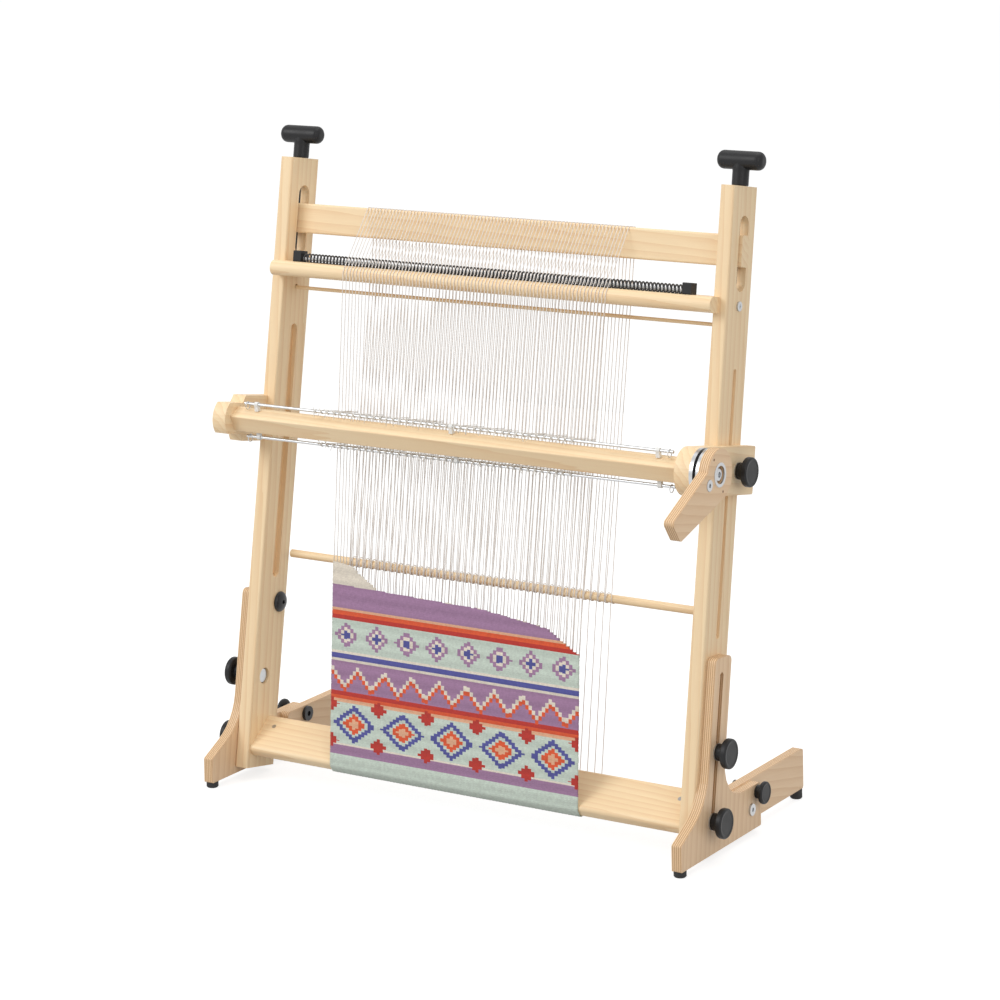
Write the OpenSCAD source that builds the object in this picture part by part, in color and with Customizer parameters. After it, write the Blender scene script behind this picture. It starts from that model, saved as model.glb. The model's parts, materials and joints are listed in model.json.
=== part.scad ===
// Tapestry loom with leaning uprights, a sliding top beam and a shedding device.
// Millimetres. X runs across the loom, Y to the back, Z up.
// Most of the loom stands in a leaning frame, where v is depth behind the uprights' front faces
// and w is the distance up along them.

/* [Uprights] */
// Wood left above the mortise slots
upright_above = 41.5; // [30:0.5:80]
// Thickness of each upright, across the loom
upright_t = 22; // [20:1:28]
// Depth of each upright, front to back
upright_d = 72; // [68:2:90]
// Clear width between the uprights
clear_w = 730; // [640:10:900]
// Backward lean of the uprights, in degrees
lean_deg = 9.8; // [7:0.2:12]
// Height of the uprights' lower ends above the table
upright_lift = 19.6; // [16:0.4:30]
// Rounding of the uprights' long edges
upright_edge_r = 3; // [1:0.5:5]
// Depth of the middle line that the slots and the tension rods share
slot_v = 38; // [34:1:42]

/* [Top beam and tension rods] */
// Height of the top beam's section
top_beam_h = 45; // [36:1:50]
// Thickness of the top beam
top_beam_t = 21; // [16:1:24]
// Clear height between the front beam and the top beam
top_beam_gap = 43.3; // [38:0.1:120]
// Length of each top beam end beyond the upright
top_beam_end = 4; // [2:1:12]
// Width of the mortise slot
mortise_w = 27; // [26:1:34]
// Room in the mortise slot below the top beam
mortise_room_below = 34.5; // [24:0.5:36]
// Room in the mortise slot above the top beam
mortise_room_above = 27.5; // [18:0.5:60]
// Diameter of the tension rods
tension_rod_d = 8; // [6:1:10]
// Length of the tension handle's cross bar
tension_bar_len = 71; // [60:1:90]
// Diameter of the tension handle's cross bar
tension_bar_d = 27; // [24:1:32]
// Diameter of the tension handle's stem
tension_stem_d = 24; // [20:1:26]
// Height of the cross bar's middle line above the upright
tension_bar_up = 36; // [30:1:44]

/* [Front beam and spring] */
// Height of the front beam's section
front_beam_h = 23; // [20:1:28]
// Distance up the uprights to the front beam's lower face
front_beam_w = 739.7; // [730:0.1:744]
// Reach of the front beam's nose before the uprights
nose_reach = 26.5; // [24:0.5:34]
// Lap of the nose over each upright's front face
nose_lap = 9; // [4:1:14]
// Depth of the front beam's web behind the uprights' front faces
web_depth = 44; // [42:1:46]
// Diameter of the thin dowel
thin_dowel_d = 5.5; // [4:0.5:7]
// Diameter of the holes that the thin dowel lies in
thin_hole_d = 8; // [7.5:0.5:9]
// Drop from the front beam's lower face to the middle of the thin dowel's holes
thin_hole_drop = 15.7; // [10:0.1:30]
// Outer diameter of the warp spacing spring
spring_d = 17.4; // [15:0.2:19]
// Wire diameter of the spring
spring_wire = 2.6; // [1.8:0.2:3]
// Number of curls in the spring
spring_curls = 90; // [60:1:92]
// Depth of the spring's middle line, before the uprights' front faces
spring_front = 9; // [8:0.5:11]
// Length of each spring block along the beam
spring_block_len = 14; // [10:1:20]
// Clear distance between each spring block and the upright
spring_block_off = 26.5; // [10:0.5:60]

/* [Bottom beam] */
// Width of the bottom beam's board
bottom_beam_len = 67; // [62:1:70]
// Thickness of the bottom beam
bottom_beam_t = 19; // [16:1:22]
// Slope of the bottom beam in the leaning frame, in degrees
bottom_beam_deg = 43.6; // [38:0.2:48]
// Depth of the bottom beam's upper front edge
bottom_beam_v = 2.5; // [1:0.5:6]
// Distance up the uprights to the bottom beam's upper front edge
bottom_beam_w = 29.8; // [28:0.2:36]
// Rounding of the bottom beam's edges
bottom_beam_r = 6; // [3:1:7]
// Distance from the bottom beam's front edge to the lower leg bolts
bottom_bolt_s = 26; // [20:1:32]

/* [Legs] */
// Thickness of the leg plywood
ply_t = 15; // [12:1:18]
// Reach of the front legs before the uprights' lower front corner
foot_reach = 57; // [45:1:80]
// Height of the front leg's toe
toe_h = 45; // [36:1:50]
// Top of the front legs, up along the uprights
leg_top_w = 268; // [258:1:272]
// Depth of the front legs' front edge behind the uprights' front faces
leg_front_v = 7.5; // [5:0.5:12]
// Depth of the front legs' rear edge
leg_rear_v = 55; // [52:1:64]
// Height of the top of the front leg's arm above the table
arm_top = 71; // [68:1:76]
// Distance from the uprights' lower front corner to the end of the arm
arm_end = 182; // [176:1:196]
// Depth of the leg bolts and the leg slot's middle line
leg_bolt_v = 28.5; // [26:0.5:32]
// Distance up the uprights to the upper leg bolts
upper_bolt_w = 136; // [120:1:150]
// Width of the slot in the front legs
leg_slot_w = 10; // [9:0.5:14]
// Upper end of the slot's middle line
leg_slot_top = 240; // [230:1:244]
// Diameter of the clamp bolts
bolt_d = 8; // [6:1:8]
// Distance back to the rear leg's pivot
pivot_y = 152; // [148:1:154]
// Height of the rear leg's pivot
pivot_z = 39; // [36:1:42]
// Distance back to the rear clamp bolt
clamp_y = 170; // [168:1:172]
// Height of the rear clamp bolt
clamp_z = 60; // [58:1:61]
// Swing of the rear legs each way, in degrees
rear_swing = 8; // [4:1:9]
// Distance back to the rear leg's front end
rear_leg_front = 121; // [118:1:126]
// Distance back to the rear leg's rear end
rear_leg_end = 349; // [320:1:400]
// Height of the rear leg's section
rear_leg_h = 59; // [54:1:62]
// Diameter of the rubber feet
foot_d = 18; // [14:1:22]
// Height of the front rubber feet
front_foot_h = 8.5; // [6:0.5:12]
// Height of the rear rubber feet
rear_foot_h = 14; // [12:0.5:18]

/* [Knobs and bolts] */
// Diameter of the large clamp knobs
knob_d = 42; // [36:1:46]
// Diameter of the rear clamp knobs
rear_knob_d = 32; // [28:1:36]
// Diameter of the knobs' stems
knob_stem_d = 24; // [18:1:26]
// Length of the large clamp knobs
knob_len = 21; // [18:1:26]
// Length of the rear clamp knobs
rear_knob_len = 15; // [12:1:20]
// Diameter of the washers under the knobs
washer_d = 24; // [20:1:28]
// Thickness of the washers
washer_t = 1.6; // [1:0.1:2.5]
// Diameter of the domed bolts inside the uprights
dome_bolt_d = 31; // [24:1:34]

/* [Shedding device] */
// Distance up the uprights to the shedding device's middle line
shed_w = 523; // [515:1:530]
// Distance of the shedding bar's axis before the uprights' front faces
shed_axis_front = 75; // [72:1:80]
// Height of the brackets
bracket_h = 68; // [64:1:76]
// Thickness of the brackets
bracket_t = 23; // [20:1:26]
// Thickness of the brackets beside the uprights
bracket_side_t = 14.2; // [12:0.2:16]
// Reach of the brackets behind the uprights' front faces
bracket_rear = 88; // [80:1:96]
// Side of the square shedding bar
shed_bar_side = 27; // [22:1:30]
// Turn of the square bar's section, in degrees
shed_bar_turn = 35; // [0:5:45]
// Lower end of the long slots in the uprights
long_slot_low = 284; // [276:1:290]
// Upper end of the long slots in the uprights
long_slot_high = 667.5; // [650:0.5:690]
// Width of the long slots' inner groove
groove_w = 17; // [16:0.5:19]
// Width of the long slots' through part
slot_w = 9; // [8.5:0.5:11]
// Diameter of the friction discs
disc_d = 68; // [60:1:72]
// Thickness of each friction disc
disc_t = 5.5; // [3:0.5:7]
// Thickness of the handle plywood
handle_t = 15; // [12:1:18]
// Radius of the handle's round head
handle_head_r = 36; // [34:1:38]
// Length of the handle from the pivot to its end
handle_len = 138; // [110:1:160]
// Diameter of the heddle rods
heddle_rod_d = 4.4; // [3:0.2:5]

/* [Warp and tapestry] */
// Number of warp ends in the front layer
warp_ends = 77; // [41:2:79]
// Distance between neighbouring warp ends
warp_pitch = 5.7; // [5:0.1:5.8]
// Diameter of the warp yarn
yarn_d = 1.1; // [0.8:0.1:1.5]
// Sideways offset of the warp's middle from the loom's middle
warp_mid_x = -16; // [-30:1:10]
// Diameter of the warping bar
warping_bar_d = 12; // [10:1:14]
// Length of the warping bar
warping_bar_len = 696; // [600:4:700]
// Distance up the uprights to the warping bar
warping_bar_w = 321; // [300:1:400]
// Thickness of the tapestry
tapestry_t = 2.4; // [1.6:0.2:4]

/* [Hidden] */
$fn = 48;

// Clearances
run = 0.3;
pin_run = 0.05;

// Colours
maple = [0.93, 0.80, 0.62];
ply = [0.88, 0.72, 0.52];
black = [0.10, 0.10, 0.11];
steel = [0.76, 0.77, 0.78];
yarn = [0.92, 0.89, 0.85];

// Places up the uprights that follow from each other
thin_hole_w = front_beam_w - thin_hole_drop;
top_beam_w = front_beam_w + front_beam_h + top_beam_gap;
mortise_low = top_beam_w - mortise_room_below;
mortise_high = top_beam_w + top_beam_h + mortise_room_above;
upright_len = mortise_high + upright_above;

// Places across the loom
xi = clear_w / 2;
xo = xi + upright_t;
leg_x0 = xo + run;
leg_x1 = leg_x0 + ply_t;
bracket_x1 = xo + run + bracket_side_t;
bracket_x0 = bracket_x1 - bracket_t;
mid_x = (xi + xo) / 2;

// Flat geometry
function polar(r, a) = [r * cos(a), r * sin(a)];
function arc(c, r, a0, a1, n) = [for (i = [0:n]) c + polar(r, a0 + (a1 - a0) * i / n)];
function unit(a) = a / norm(a);
function flip(list) = [for (i = [len(list) - 1:-1:0]) list[i]];
function wrap_deg(a) = a > 180 ? a - 360 : (a < -180 ? a + 360 : a);
// The rounded corner at b between a and c, or b itself where the radius is 0
function corner(a, b, c, r, n = 6) =
    r <= 0 ? [b] :
    let (u = unit(a - b), s = unit(c - b), half = acos(u * s) / 2)
    let (m = b + unit(u + s) * r / sin(half), p = b + u * r / tan(half) - m, q = b + s * r / tan(half) - m)
    let (a0 = atan2(p[1], p[0]), turn = wrap_deg(atan2(q[1], q[0]) - a0))
    arc(m, r, a0, a0 + turn, n);
// An outline whose corners have the radii in the third value of each point
function outline(pts) = let (n = len(pts)) [for (i = [0:n - 1]) each corner(
    [pts[(i + n - 1) % n][0], pts[(i + n - 1) % n][1]], [pts[i][0], pts[i][1]],
    [pts[(i + 1) % n][0], pts[(i + 1) % n][1]], pts[i][2])];
// Direction of the normal of the line that touches two circles on one side
function touch_deg(c1, r1, c2, r2, side) =
    let (d = c2 - c1) atan2(d[1], d[0]) + side * acos((r1 - r2) / norm(d));
// A point of the leaning frame in the upright frame of the table
function lean_pt(v, w) = [v * cos(lean_deg) + w * sin(lean_deg),
    upright_lift - v * sin(lean_deg) + w * cos(lean_deg)];

// Handle outline, in the leaning frame
pivot = [-shed_axis_front, shed_w];
handle_deg = 213;
handle_end_w = 37;
handle_end = pivot + polar(handle_len, handle_deg);
handle_across = polar(handle_end_w / 2, handle_deg + 104);
handle_end_r = 6;
handle_pts = [
    [pivot[0] + handle_head_r * cos(175), pivot[1] + handle_head_r * sin(175), 0],
    [handle_end[0] - handle_across[0], handle_end[1] - handle_across[1], handle_end_r],
    [handle_end[0] + handle_across[0], handle_end[1] + handle_across[1], handle_end_r],
    [pivot[0] + handle_head_r * cos(295), pivot[1] + handle_head_r * sin(295), 0]];
handle_outline = outline(handle_pts);
handle_x0 = bracket_x1 + 3 * disc_t - 1;
handle_x1 = handle_x0 + handle_t;
// The pivot washer and the second bolt stand this much proud of the handle
handle_proud = 0.6;

// Origin: the middle of the whole box, on the table
box_front = min([for (p = handle_outline) lean_pt(p[0], p[1])[0]]);
box_mid_y = (box_front + rear_leg_end) / 2;
knob_x1 = leg_x1 + run + washer_t + run + knob_len;
box_mid_x = (max(handle_x1 + handle_proud, knob_x1) - knob_x1) / 2;

module ground() { translate([-box_mid_x, -box_mid_y, 0]) children(); }
module lean() { ground() translate([0, 0, upright_lift]) rotate([-lean_deg, 0, 0]) children(); }
module other_side() { mirror([1, 0, 0]) children(); }
module both_sides() { children(); other_side() children(); }
// A flat outline in depth and height, made solid from x0 to x1
module board(x0, x1) { translate([x0, 0, 0]) rotate([90, 0, 90]) linear_extrude(x1 - x0) children(); }
module along_x(x0, x1, v, w, r) { translate([x0, v, w]) rotate([0, 90, 0]) cylinder(h = x1 - x0, r = r); }
module slot_cut(x0, x1, v, w0, w1, width) {
    along_x(x0, x1, v, w0 + width / 2, width / 2);
    along_x(x0, x1, v, w1 - width / 2, width / 2);
    translate([x0, v - width / 2, w0 + width / 2]) cube([x1 - x0, width, w1 - w0 - width]);
}

// Lower leg bolt: the middle of the bottom beam's board
beam_dir = polar(1, bottom_beam_deg);
beam_down = polar(1, bottom_beam_deg - 90);
beam_front = [bottom_beam_v, bottom_beam_w];
lower_bolt = beam_front + bottom_bolt_s * beam_dir + bottom_beam_t / 2 * beam_down;
front_beam_mid = front_beam_w + front_beam_h / 2;
screw_v = 36;
thin_dowel_w = thin_hole_w - thin_hole_d / 2 + thin_dowel_d / 2 + pin_run;
thin_hole_depth = 12;
counterbore_d = 24;
counterbore_depth = 9;
bolt_head_d = 20;
bolt_head_t = 6;
dome_bolt_v = 54;
dome_bolt_w = 246;
groove_depth = 9;
small_screw_d = 5;

module upright() {
    difference() {
        translate([mid_x, upright_d / 2, 0]) linear_extrude(upright_len)
            polygon(outline([for (s = [[-1, -1], [1, -1], [1, 1], [-1, 1]])
                [s[0] * upright_t / 2, s[1] * upright_d / 2, upright_edge_r]]));
        slot_cut(xi - 1, xo + 1, slot_v, mortise_low, mortise_high, mortise_w);
        slot_cut(xi + groove_depth - 1, xo + 1, slot_v, long_slot_low + 4, long_slot_high - 4, slot_w);
        slot_cut(xi - 1, xi + groove_depth, slot_v, long_slot_low, long_slot_high, groove_w);
        translate([mid_x, slot_v, mortise_low - 12])
            cylinder(h = upright_len, r = tension_rod_d / 2 + pin_run);
        along_x(xi - 1, xo + 1, leg_bolt_v, upper_bolt_w, bolt_d / 2);
        along_x(xi - 1, xi + counterbore_depth, leg_bolt_v, upper_bolt_w, counterbore_d / 2);
        along_x(xi - 1, xo + 1, lower_bolt[0], lower_bolt[1], bolt_d / 2);
        along_x(xi - 1, xi + thin_hole_depth, screw_v, thin_hole_w, thin_hole_d / 2);
        along_x(xi - 1, xo + 1, screw_v, front_beam_mid, small_screw_d / 2);
        along_x(xi - 1, xi + thin_hole_depth, dome_bolt_v, dome_bolt_w, bolt_d / 2);
    }
}
module upright_left() { color(maple) lean() other_side() upright(); }
module upright_right() { color(maple) lean() upright(); }

beam_corner_r = 3;
module top_beam() {
    color(maple) lean() difference() {
        board(-xo - top_beam_end, xo + top_beam_end) polygon(outline([
            for (s = [[-1, 0], [1, 0], [1, 1], [-1, 1]])
            [slot_v + s[0] * top_beam_t / 2, top_beam_w + s[1] * top_beam_h, beam_corner_r]]));
        both_sides() translate([mid_x, slot_v, top_beam_w - 1])
            cylinder(h = top_beam_h + 2, r = tension_rod_d / 2 + pin_run);
    }
}

// Tension handle: a cross bar with round ends on a stem that flares into it
tension_end_r = 9;
module tension_handle() {
    translate([mid_x, slot_v, upright_len + run]) difference() {
        union() {
            rotate_extrude() polygon([[0, 0], [tension_stem_d / 2 - 1, 0], [tension_stem_d / 2, 1],
                [tension_stem_d / 2, tension_bar_up - tension_bar_d * 0.6],
                [tension_bar_d * 0.46, tension_bar_up - tension_bar_d * 0.4],
                [tension_bar_d * 0.46, tension_bar_up], [0, tension_bar_up]]);
            translate([0, 0, tension_bar_up]) rotate([0, 90, 0]) rotate_extrude()
                polygon(concat([[0, -tension_bar_len / 2]],
                    arc([tension_bar_d / 2 - tension_end_r, tension_end_r - tension_bar_len / 2],
                        tension_end_r, -90, 0, 6),
                    arc([tension_bar_d / 2 - tension_end_r, tension_bar_len / 2 - tension_end_r],
                        tension_end_r, 0, 90, 6),
                    [[0, tension_bar_len / 2]]));
        }
        translate([0, 0, -1]) cylinder(h = tension_bar_up - 3, r = tension_rod_d / 2);
    }
}
module tension_handle_left() { color(black) lean() other_side() tension_handle(); }
module tension_handle_right() { color(black) lean() tension_handle(); }
module tension_rod() {
    translate([mid_x, slot_v, mortise_low - 10])
        cylinder(h = upright_len + run + tension_bar_up - 4 - mortise_low + 10, r = tension_rod_d / 2);
}
module tension_rod_left() { color(black) lean() other_side() tension_rod(); }
module tension_rod_right() { color(black) lean() tension_rod(); }

// Front beam with its nose, its web and the groove that the spring lies in
nose_r = front_beam_h / 2;
nose = [nose_r - nose_reach, front_beam_mid];
spring_sink = 3.7;
spring_w = front_beam_w + front_beam_h + spring_d / 2 - spring_sink;
spring_x = xi - spring_block_off - spring_block_len;
module front_beam() {
    color(maple) lean() difference() {
        union() {
            board(-xi - nose_lap, xi + nose_lap) polygon(concat(
                [[0, front_beam_w + front_beam_h]], arc(nose, nose_r, 90, 270, 14), [[0, front_beam_w]]));
            translate([-xi, -0.01, front_beam_w]) cube([clear_w, web_depth, front_beam_h]);
        }
        along_x(-spring_x - spring_block_len, spring_x + spring_block_len, -spring_front, spring_w,
            spring_d / 2 + run);
        both_sides() along_x(xi - screw_grip, xi + 1, screw_v, front_beam_mid, small_screw_d / 2);
    }
}
screw_grip = 32;
screw_head_d = 14;
screw_head_t = 2.4;
module front_beam_screws() {
    color(steel) lean() both_sides() {
        along_x(xi - screw_grip, xo, screw_v, front_beam_mid, small_screw_d / 2);
        difference() {
            along_x(xo, xo + screw_head_t, screw_v, front_beam_mid, screw_head_d / 2);
            for (s = [[4, 1], [1, 4]]) translate([xo + screw_head_t - 1, screw_v - s[0] / 2 * 1.5,
                front_beam_mid - s[1] / 2 * 1.5]) cube([2, s[0] * 1.5, s[1] * 1.5]);
        }
    }
}
module thin_dowel() {
    color(maple) lean() along_x(-xi - thin_hole_depth + 1, xi + thin_hole_depth - 1, screw_v,
        thin_dowel_w, thin_dowel_d / 2);
}

// Spring: one tube of rings along a helix, with a straight end into each block
spring_steps = 8;
spring_sides = 6;
spring_r = (spring_d - spring_wire) / 2;
spring_span = 2 * spring_x - 2 * spring_wire;
function spring_at(k) = let (a = 360 * k / spring_steps)
    [-spring_span / 2 + spring_span * k / (spring_curls * spring_steps),
     spring_r * cos(a), spring_r * sin(a)];
spring_last = spring_curls * spring_steps;
spring_pts = concat([spring_at(0) - [spring_wire, 0, 0]], [for (k = [0:spring_last]) spring_at(k)],
    [spring_at(spring_last) + [spring_wire, 0, 0]]);
function spring_ring(i) = let (n = len(spring_pts), c = spring_pts[i])
    let (t = unit(spring_pts[min(i + 1, n - 1)] - spring_pts[max(i - 1, 0)]))
    let (radial = unit([0, c[1], c[2]]), e1 = unit(radial - t * (radial * t)), e2 = cross(t, e1))
    [for (j = [0:spring_sides - 1]) let (a = 360 * j / spring_sides)
        c + spring_wire / 2 * (cos(a) * e1 + sin(a) * e2)];
spring_gap = min([for (k = [0:spring_steps]) norm(spring_at(k + spring_steps) - spring_at(k))]) - spring_wire;
echo(spring_least_gap = spring_gap);
module spring() {
    n = len(spring_pts);
    m = spring_sides;
    rings = [for (i = [0:n - 1]) each spring_ring(i)];
    sides = [for (i = [0:n - 2]) for (j = [0:m - 1]) let (a = i * m + j, b = i * m + (j + 1) % m)
        each [[a, b, b + m], [a, b + m, a + m]]];
    ends = [for (j = [1:m - 2]) each [[0, j + 1, j], [(n - 1) * m, (n - 1) * m + j, (n - 1) * m + j + 1]]];
    color(black) lean() translate([0, -spring_front, spring_w]) polyhedron(rings, concat(sides, ends));
}
spring_rod_d = 5;
spring_rod_in = 8;
module spring_rod() {
    color("white") lean() along_x(-spring_x - spring_rod_in, spring_x + spring_rod_in,
        -spring_front, spring_w, spring_rod_d / 2);
}
block_w = front_beam_w + front_beam_h;
block_h = 16.5;
module spring_blocks() {
    color(black) lean() both_sides() difference() {
        board(spring_x, spring_x + spring_block_len) polygon(outline([
            for (s = [[-1, 0], [1, 0], [1, 1], [-1, 1]])
            [-spring_front + s[0] * spring_d / 2, block_w + s[1] * block_h, 1.5]]));
        along_x(spring_x - 1, spring_x + spring_rod_in, -spring_front, spring_w, spring_rod_d / 2);
    }
}

// Bottom beam: a board on edge-rounded corners, sloping down to the front
function beam_at(s, t) = beam_front + s * beam_dir + t * beam_down;
function with_r(p, r) = [p[0], p[1], r];
nut_d = 12;
nut_in = 30;
top_screw_s = 47;
top_screw_in = 19;
top_screw_d = 7;
module across_board(x, s, t0, t1, r) {
    p = beam_at(s, t0);
    translate([x, p[0], p[1]]) rotate([bottom_beam_deg - 180, 0, 0]) cylinder(h = t1 - t0, r = r);
}
module bottom_beam() {
    color(maple) lean() difference() {
        board(-xi, xi) polygon(outline([
            with_r(beam_at(0, 0), bottom_beam_r), with_r(beam_at(bottom_beam_len, 0), bottom_beam_r / 2),
            with_r(beam_at(bottom_beam_len, bottom_beam_t), bottom_beam_r / 2),
            with_r(beam_at(0, bottom_beam_t), bottom_beam_r)]));
        both_sides() {
            along_x(xi - nut_in - nut_d, xi + 1, lower_bolt[0], lower_bolt[1], bolt_d / 2);
            across_board(xi - nut_in, bottom_bolt_s, 3, bottom_beam_t + 1, nut_d / 2);
            across_board(xi - top_screw_in, top_screw_s, -1, bottom_beam_t - 4, top_screw_d / 2);
        }
    }
}
module barrel_nuts() {
    color(steel) lean() both_sides() difference() {
        across_board(xi - nut_in, bottom_bolt_s, 3, bottom_beam_t, nut_d / 2);
        along_x(xi - nut_in - nut_d, xi, lower_bolt[0], lower_bolt[1], bolt_d / 2);
    }
}
module bottom_beam_screws() {
    color(steel) lean() both_sides()
        across_board(xi - top_screw_in, top_screw_s, 0, bottom_beam_t - 4, top_screw_d / 2);
}
dome_h = 8;
module dome_bolts() {
    color(black) lean() both_sides() difference() {
        union() {
            translate([xi, dome_bolt_v, dome_bolt_w]) rotate([0, -90, 0]) rotate_extrude()
                polygon(concat([[0, 0]], [for (i = [0:8]) [dome_bolt_d / 2 * cos(90 * i / 8),
                    1 + (dome_h - 1) * sin(90 * i / 8)]], [[0, dome_h]]));
            along_x(xi, xi + thin_hole_depth, dome_bolt_v, dome_bolt_w, bolt_d / 2);
        }
        along_x(xi - dome_h - 1, xi - dome_h + 4, dome_bolt_v, dome_bolt_w, 3);
    }
}

// Bolts of the leg knobs: the upper ones have their heads in the counterbores
leg_washer_x = leg_x1 + run;
leg_knob_x = leg_washer_x + washer_t + run;
bolt_in_knob = 9;
module leg_bolts() {
    color(steel) lean() both_sides() {
        along_x(xi + counterbore_depth - bolt_head_t, leg_knob_x + bolt_in_knob, leg_bolt_v,
            upper_bolt_w, bolt_d / 2);
        difference() {
            along_x(xi + counterbore_depth - bolt_head_t, xi + counterbore_depth, leg_bolt_v,
                upper_bolt_w, bolt_head_d / 2);
            along_x(xi, xi + counterbore_depth - 3, leg_bolt_v, upper_bolt_w, 3);
        }
        along_x(xi - nut_in - nut_d / 2, leg_knob_x + bolt_in_knob, lower_bolt[0], lower_bolt[1],
            bolt_d / 2);
    }
}
module washer(x, v, w) {
    difference() {
        along_x(x, x + washer_t, v, w, washer_d / 2);
        along_x(x - 1, x + washer_t + 1, v, w, bolt_d / 2);
    }
}
module leg_washers() {
    color(steel) lean() both_sides() {
        washer(leg_washer_x, leg_bolt_v, upper_bolt_w);
        washer(leg_washer_x, lower_bolt[0], lower_bolt[1]);
    }
}

// Clamp knob on its axis along x, with a blind bore for the bolt
module knob(x, v, w, d, stem, length) {
    rim = length * 0.5;
    translate([x, v, w]) rotate([0, 90, 0]) difference() {
        rotate_extrude() polygon(concat([[0, 0], [stem / 2 - 1, 0], [stem / 2, 1], [stem / 2, length - rim - 1],
            [d / 2 - 3, length - rim]], [[d / 2 - 0.6, length - rim + 1.6], [d / 2, length - rim + 3]],
            arc([d / 2 - 2.5, length - 2.5], 2.5, 0, 90, 4), [[d * 0.36, length - 0.6], [0, length - 0.6]]));
        translate([0, 0, -1]) cylinder(h = bolt_in_knob + 2, r = bolt_d / 2 + pin_run);
    }
}
module leg_knob_upper() { knob(leg_knob_x, leg_bolt_v, upper_bolt_w, knob_d, knob_stem_d, knob_len); }
module leg_knob_lower() { knob(leg_knob_x, lower_bolt[0], lower_bolt[1], knob_d, knob_stem_d, knob_len); }
module leg_knob_upper_left() { color(black) lean() other_side() leg_knob_upper(); }
module leg_knob_upper_right() { color(black) lean() leg_knob_upper(); }
module leg_knob_lower_left() { color(black) lean() other_side() leg_knob_lower(); }
module leg_knob_lower_right() { color(black) lean() leg_knob_lower(); }

// Front leg: toe, hollow curve, upper part along the upright, and arm to the back
crotch_w = (arm_top - upright_lift + leg_rear_v * sin(lean_deg)) / cos(lean_deg);
hollow_w = 65;
leg_pts = concat(
    [[-foot_reach, front_foot_h, 2], [-foot_reach, toe_h, 3]],
    [for (p = [[leg_front_v, hollow_w, 80], [leg_front_v, leg_top_w - 4, 8], [leg_rear_v, leg_top_w, 8],
        [leg_rear_v, crotch_w, 50]]) with_r(lean_pt(p[0], p[1]), p[2])],
    [[arm_end, arm_top, 4], [arm_end, front_foot_h, 2]]);
module front_leg() {
    difference() {
        ground() board(leg_x0, leg_x1) polygon(outline(leg_pts));
        lean() slot_cut(leg_x0 - 1, leg_x1 + 1, leg_bolt_v, lower_bolt[1] - leg_slot_w / 2 - run,
            leg_slot_top + leg_slot_w / 2, leg_slot_w);
        ground() along_x(leg_x0 - 1, leg_x1 + 1, pivot_y, pivot_z, bolt_d / 2);
        ground() along_x(leg_x0 - 1, leg_x1 + 1, clamp_y, clamp_z, bolt_d / 2);
    }
}
module front_leg_right() { color(ply) front_leg(); }
module mirrored() { translate([-box_mid_x, 0, 0]) mirror([1, 0, 0]) translate([box_mid_x, 0, 0]) children(); }
module front_leg_left() { color(ply) mirrored() front_leg(); }

// Rear leg: on the inner side of the arm, with an arc slot for the clamp bolt
rear_x1 = xo;
rear_x0 = rear_x1 - ply_t;
rear_slope = 1.2;
clamp_r = norm([clamp_y - pivot_y, clamp_z - pivot_z]);
clamp_deg = atan2(clamp_z - pivot_z, clamp_y - pivot_y);
arc_half = bolt_d / 2 + 0.5;
rear_low = 14 - 0.5;
module rear_leg() {
    ground() difference() {
        board(rear_x0, rear_x1) polygon(outline([
            [rear_leg_front, rear_low, 5], [rear_leg_end, rear_foot_h, 4],
            [rear_leg_end, rear_foot_h + rear_leg_h, 5], [rear_leg_front, rear_low + rear_leg_h, 8]]));
        along_x(rear_x0 - 1, rear_x1 + 1, pivot_y, pivot_z, bolt_d / 2 + pin_run);
        board(rear_x0 - 1, rear_x1 + 1) polygon(concat(
            arc([pivot_y, pivot_z], clamp_r - arc_half, clamp_deg - rear_swing, clamp_deg + rear_swing, 6),
            arc([pivot_y, pivot_z], clamp_r + arc_half, clamp_deg + rear_swing, clamp_deg - rear_swing, 6)));
        for (s = [-1, 1]) let (p = [pivot_y, pivot_z] + polar(clamp_r, clamp_deg + s * rear_swing))
            along_x(rear_x0 - 1, rear_x1 + 1, p[0], p[1], arc_half);
    }
}
module rear_leg_right() { color(ply) rear_leg(); }
module rear_leg_left() { color(ply) mirrored() rear_leg(); }

// Rubber feet
front_foot_y = foot_d / 2 - foot_reach + 1;
rear_foot_y = rear_leg_end - foot_d / 2;
module foot(x, y, h) {
    translate([x, y, 0]) rotate_extrude() polygon([[0, 0], [foot_d / 2 - 1.5, 0], [foot_d / 2, 1.5],
        [foot_d / 2, h], [0, h]]);
}
module front_feet() { color(black) ground() both_sides() foot((leg_x0 + leg_x1) / 2, front_foot_y, front_foot_h); }
module rear_foot() { foot((rear_x0 + rear_x1) / 2, rear_foot_y, rear_foot_level); }
rear_foot_level = rear_low + (rear_foot_h - rear_low)
    * (rear_foot_y - foot_d / 2 - rear_leg_front) / (rear_leg_end - rear_leg_front);
module rear_foot_left() { color(black) ground() other_side() rear_foot(); }
module rear_foot_right() { color(black) ground() rear_foot(); }

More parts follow.
